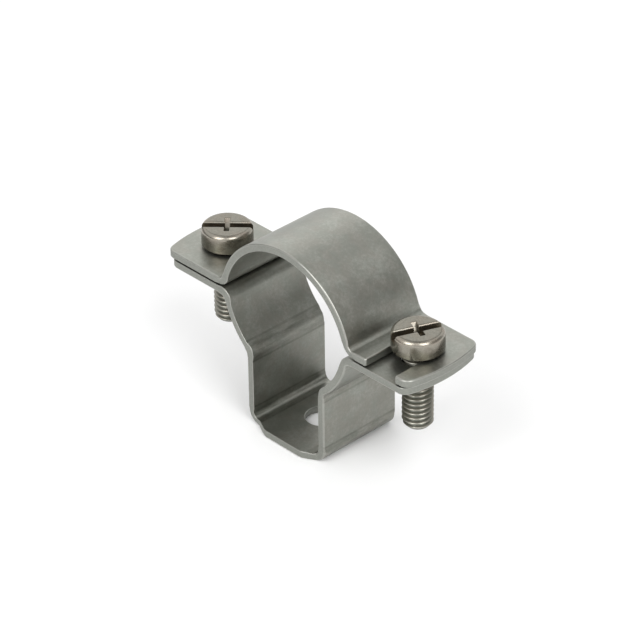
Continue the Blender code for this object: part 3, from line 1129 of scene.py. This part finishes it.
class HOLDER_OT_add_screws(bpy.types.Operator):
    """Add the two cheese-head screws with their threads and driving recesses"""

    bl_idname = "holder.add_screws"
    bl_label = "Add Screws"

    def execute(self, context):
        finish = context.scene.holder_finish
        sizes = context.scene.holder_screws
        tree = screw_tree()
        steel = screw_steel(finish)
        recess = recess_steel(finish)
        turns = {"front_screw": sizes.front_turn, "rear_screw": sizes.rear_turn}
        for body, turn in turns.items():
            place = JOINT_PLACES[body + "_turn"]
            screw = make_screw(body + "_turned", place, turn, sizes, tree, steel, recess)
            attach(screw, body)
            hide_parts(body)
        return {"FINISHED"}


def stage_mesh(name, corners, material):
    """Flat stage piece from four corners."""
    mesh = bpy.data.meshes.new(name)
    mesh.from_pydata(corners, [], [(0, 1, 2, 3)])
    mesh.materials.append(material)
    item = placed(name, mesh)
    return item


def matt_material(name, colour, roughness):
    """Plain matt paint of a stage piece."""
    material, graph = new_material(name)
    sockets = {"Base Color": rgba(colour), "Roughness": roughness}
    graph.surface(graph.add("ShaderNodeBsdfPrincipled", sockets=sockets))
    return material


def level_square(reach, height):
    """Corners of a level square over the middle of the floor."""
    corners = [(-1, -1), (1, -1), (1, 1), (-1, 1)]
    return [(x * reach, y * reach, height) for x, y in corners]


def upright_board(place, width, foot, top):
    """Corners of an upright board that faces the object."""
    low = Vector((*place, foot))
    high = Vector((*place, top))
    side = Vector((-low.y, low.x, 0.0)).normalized() * width / 2
    return [low - side, low + side, high + side, high - side]


def add_board(name, corners, material):
    """Board that the camera doesn't see and that shows in the metal's polish alone."""
    item = stage_mesh(name, corners, material)
    item.visible_camera = False
    item.visible_diffuse = False
    item.visible_shadow = False


def soft_lamp(name, place, width, height, power):
    """Soft lamp that points at the object."""
    light = bpy.data.lights.new(name, "AREA")
    light.shape = "RECTANGLE"
    light.size = width
    light.size_y = height
    light.energy = power
    item = placed(name, light)
    item.location = place
    item.rotation_euler = (LIT_POINT - Vector(place)).to_track_quat("-Z", "Y").to_euler()


def white_world(scene):
    """Even sky at a plain level that shows as plain white behind the floor."""
    world = bpy.data.worlds.new("studio")
    graph = new_graph(world)
    rays = graph.add("ShaderNodeLightPath", output="Is Camera Ray")
    seen = graph.math("MAXIMUM", rays, graph.other(rays, "Is Glossy Ray"))
    seen = graph.math("MAXIMUM", seen, graph.other(rays, "Is Transmission Ray"))
    white_paint = (1.0, 1.0, 1.0, 1.0)
    sky = graph.add("ShaderNodeBackground", sockets={"Color": white_paint, "Strength": SKY_LEVEL})
    white = graph.add("ShaderNodeBackground", sockets={"Color": white_paint, "Strength": 1.0})
    both = graph.add("ShaderNodeMixShader", sockets={0: seen, 1: sky, 2: white})
    graph.surface(both, "ShaderNodeOutputWorld")
    scene.world = world


def add_camera(scene, settings):
    """Camera at the photograph's viewing angle."""
    camera = bpy.data.cameras.new("camera")
    camera.sensor_width = SENSOR_WIDTH
    camera.lens = settings.focal_length
    camera.clip_start = NEAREST_SEEN
    camera.clip_end = FURTHEST_SEEN
    item = placed("camera", camera)
    turn = Matrix.Rotation(settings.azimuth, 4, "Z")
    turn = turn @ Matrix.Rotation(math.pi / 2 - settings.elevation, 4, "X")
    turn = turn @ Matrix.Rotation(settings.roll, 4, "Z")
    item.matrix_world = Matrix.Translation(settings.camera_place) @ turn
    scene.camera = item


class HOLDER_OT_add_stage(bpy.types.Operator):
    """Add the pale floor, the soft studio light and the camera"""

    bl_idname = "holder.add_stage"
    bl_label = "Add Stage"

    def execute(self, context):
        scene = context.scene
        settings = scene.holder_stage
        paint = matt_material("pale_floor", settings.floor_colour, 0.9)
        stage_mesh("floor", level_square(FLOOR_REACH, -FLOOR_DROP), paint)
        white_world(scene)
        for lamp in LAMPS:
            soft_lamp(*lamp)
        grey = matt_material("grey_board", BOARD_COLOUR, 1.0)
        for name, *sizes in BOARDS:
            add_board(name, upright_board(*sizes), grey)
        add_board("ceiling_board", level_square(CEILING_REACH, CEILING_HEIGHT), grey)
        add_camera(scene, settings)
        scene.view_settings.view_transform = "Standard"
        return {"FINISHED"}


class HOLDER_PT_panel(bpy.types.Panel):
    """Buttons and sizes of the conductor holder"""

    bl_idname = "HOLDER_PT_panel"
    bl_label = "Conductor Holder"
    bl_space_type = "VIEW_3D"
    bl_region_type = "UI"
    bl_category = "Holder"

    def draw(self, context):
        layout = self.layout
        for operator in OPERATORS:
            layout.operator(operator.bl_idname)
        for key in GROUPS:
            group = getattr(context.scene, key)
            box = layout.box()
            for name in group.__annotations__:
                box.prop(group, name)


OPERATORS = (HOLDER_OT_add_strap, HOLDER_OT_add_bracket, HOLDER_OT_add_screws, HOLDER_OT_add_stage)
GROUPS = {"holder_finish": HolderFinish, "holder_screws": HolderScrewSizes, "holder_stage": HolderStage}


def register():
    """Register the groups, operators and panel."""
    for name, group in GROUPS.items():
        bpy.utils.register_class(group)
        setattr(bpy.types.Scene, name, bpy.props.PointerProperty(type=group))
    for item in (*OPERATORS, HOLDER_PT_panel):
        bpy.utils.register_class(item)


def unregister():
    """Take the panel, operators and groups away again."""
    for item in (HOLDER_PT_panel, *reversed(OPERATORS)):
        bpy.utils.unregister_class(item)
    for name, group in GROUPS.items():
        delattr(bpy.types.Scene, name)
        bpy.utils.unregister_class(group)


def main():
    """Build every piece and the stage."""
    register()
    bpy.ops.holder.add_strap()
    bpy.ops.holder.add_bracket()
    bpy.ops.holder.add_screws()
    bpy.ops.holder.add_stage()


if __name__ == "__main__":
    main()
